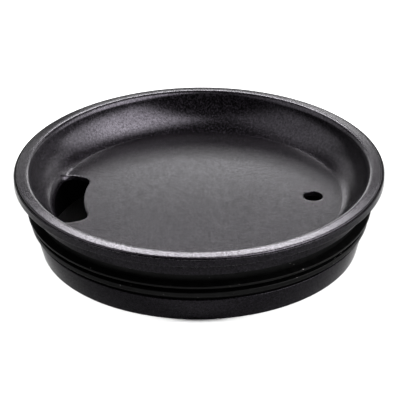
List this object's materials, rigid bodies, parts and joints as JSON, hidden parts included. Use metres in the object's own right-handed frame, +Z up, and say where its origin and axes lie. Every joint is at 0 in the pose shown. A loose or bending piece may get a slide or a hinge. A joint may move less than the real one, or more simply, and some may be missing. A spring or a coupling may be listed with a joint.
{
  "type": "tumbler lid",
  "caption": "Press-in lid for a drinking tumbler: a shallow round dish with an arc-shaped sip opening, a vent hole, and a plug with a finned silicone gasket.",
  "frame": {"origin": "centre of the skirt's foot, on the surface that the lid stands on", "axes": "+Z up through the dish, the sip opening on the -X side, the vent hole on the +X side"},
  "size_m": [0.092, 0.092, 0.0205],
  "materials": {
    "dish_plastic": "fine-grained satin black",
    "plug_plastic": "satin black",
    "silicone": "matte black silicone"
  },
  "bodies": {
    "root": {"dish_shell": "dish_plastic", "plug_ring": "plug_plastic", "gasket": "silicone"}
  },
  "joints": []
}
